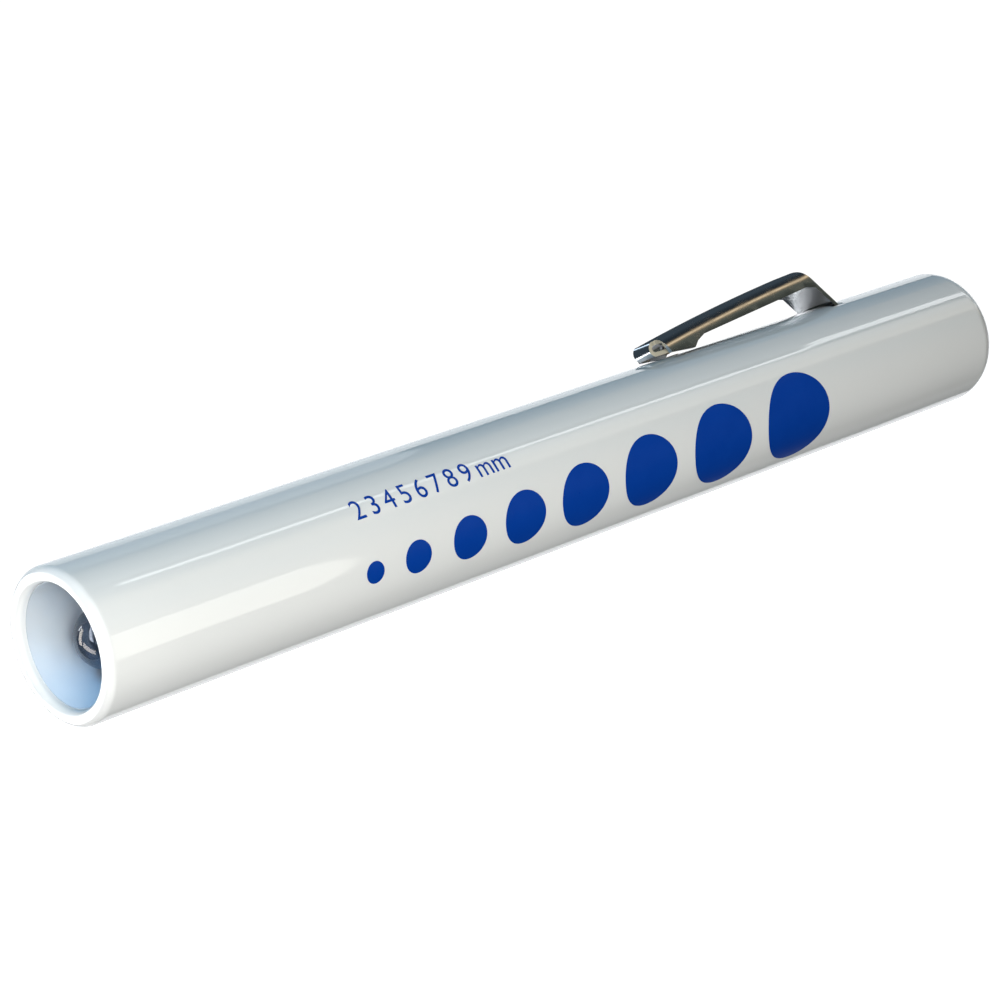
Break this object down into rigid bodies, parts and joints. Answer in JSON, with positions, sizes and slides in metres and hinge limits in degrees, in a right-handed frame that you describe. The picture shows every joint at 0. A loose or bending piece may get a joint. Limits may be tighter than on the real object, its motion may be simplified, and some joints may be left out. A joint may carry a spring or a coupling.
{
  "type": "diagnostic penlight",
  "caption": "Slim white pocket examination light with a recessed lens lamp, a sprung metal pocket clip that works as its switch, and a printed pupil gauge.",
  "frame": {"origin": "centre of the light opening, on the barrel's axis and in the plane of the rim", "axes": "+X along the barrel's axis from the light end to the closed rear end; +Z from the axis to the pocket clip; the gauge is printed on the -Y side"},
  "size_m": [0.115, 0.0136, 0.0176],
  "materials": {
    "white_plastic": "glossy white moulded plastic",
    "holder_plastic": "bright white moulded plastic",
    "blue_ink": "deep blue pad-printed ink",
    "clear_glass": "clear blown glass with a pressed lens end",
    "brass": "rolled brass",
    "nickel": "nickel-plated drawn brass",
    "tungsten": "drawn tungsten",
    "lead_wire": "copper-clad nickel-iron wire",
    "cement": "matt basing cement",
    "bead_glass": "fused glass bead",
    "black_glass": "black vitrite",
    "solder": "soft solder",
    "spring_steel": "bright nickel-plated spring steel",
    "steel_can": "nickel-plated deep-drawn steel",
    "jacket": "shrunk plastic film",
    "cell_mass": "pressed black powder mix",
    "nylon": "nylon"
  },
  "bodies": {
    "barrel": {"barrel": "white_plastic", "gauge_dots": "blue_ink", "lamp_holder": "holder_plastic", "lamp_glass": "clear_glass", "lamp_base": "nickel", "lamp_cement": "cement", "lamp_bead": "bead_glass", "lamp_wires": "lead_wire", "lamp_filament": "tungsten", "lamp_insulator": "black_glass", "lamp_tip": "solder", "contact_strip": "brass", "contact_rivet": "brass", "battery_spring": "spring_steel", "rear_contact": "spring_steel", "clip_tail": "spring_steel", "front_cell_can": "steel_can", "front_cell_jacket": "jacket", "front_cell_core": "cell_mass", "front_cell_seal": "nylon", "front_cell_end_plate": "steel_can", "rear_cell_can": "steel_can", "rear_cell_jacket": "jacket", "rear_cell_core": "cell_mass", "rear_cell_seal": "nylon", "rear_cell_end_plate": "steel_can"},
    "clip": {"pocket_clip": "spring_steel"}
  },
  "joints": [
    {"name": "clip_flex", "type": "hinge", "parent": "barrel", "child": "clip", "pos_m": [0.09836, 0, 0.00605], "axis": [0, 1, 0], "range_deg": [-0.58, 8], "stiffness_Nm_per_rad": 1.2}
  ]
}
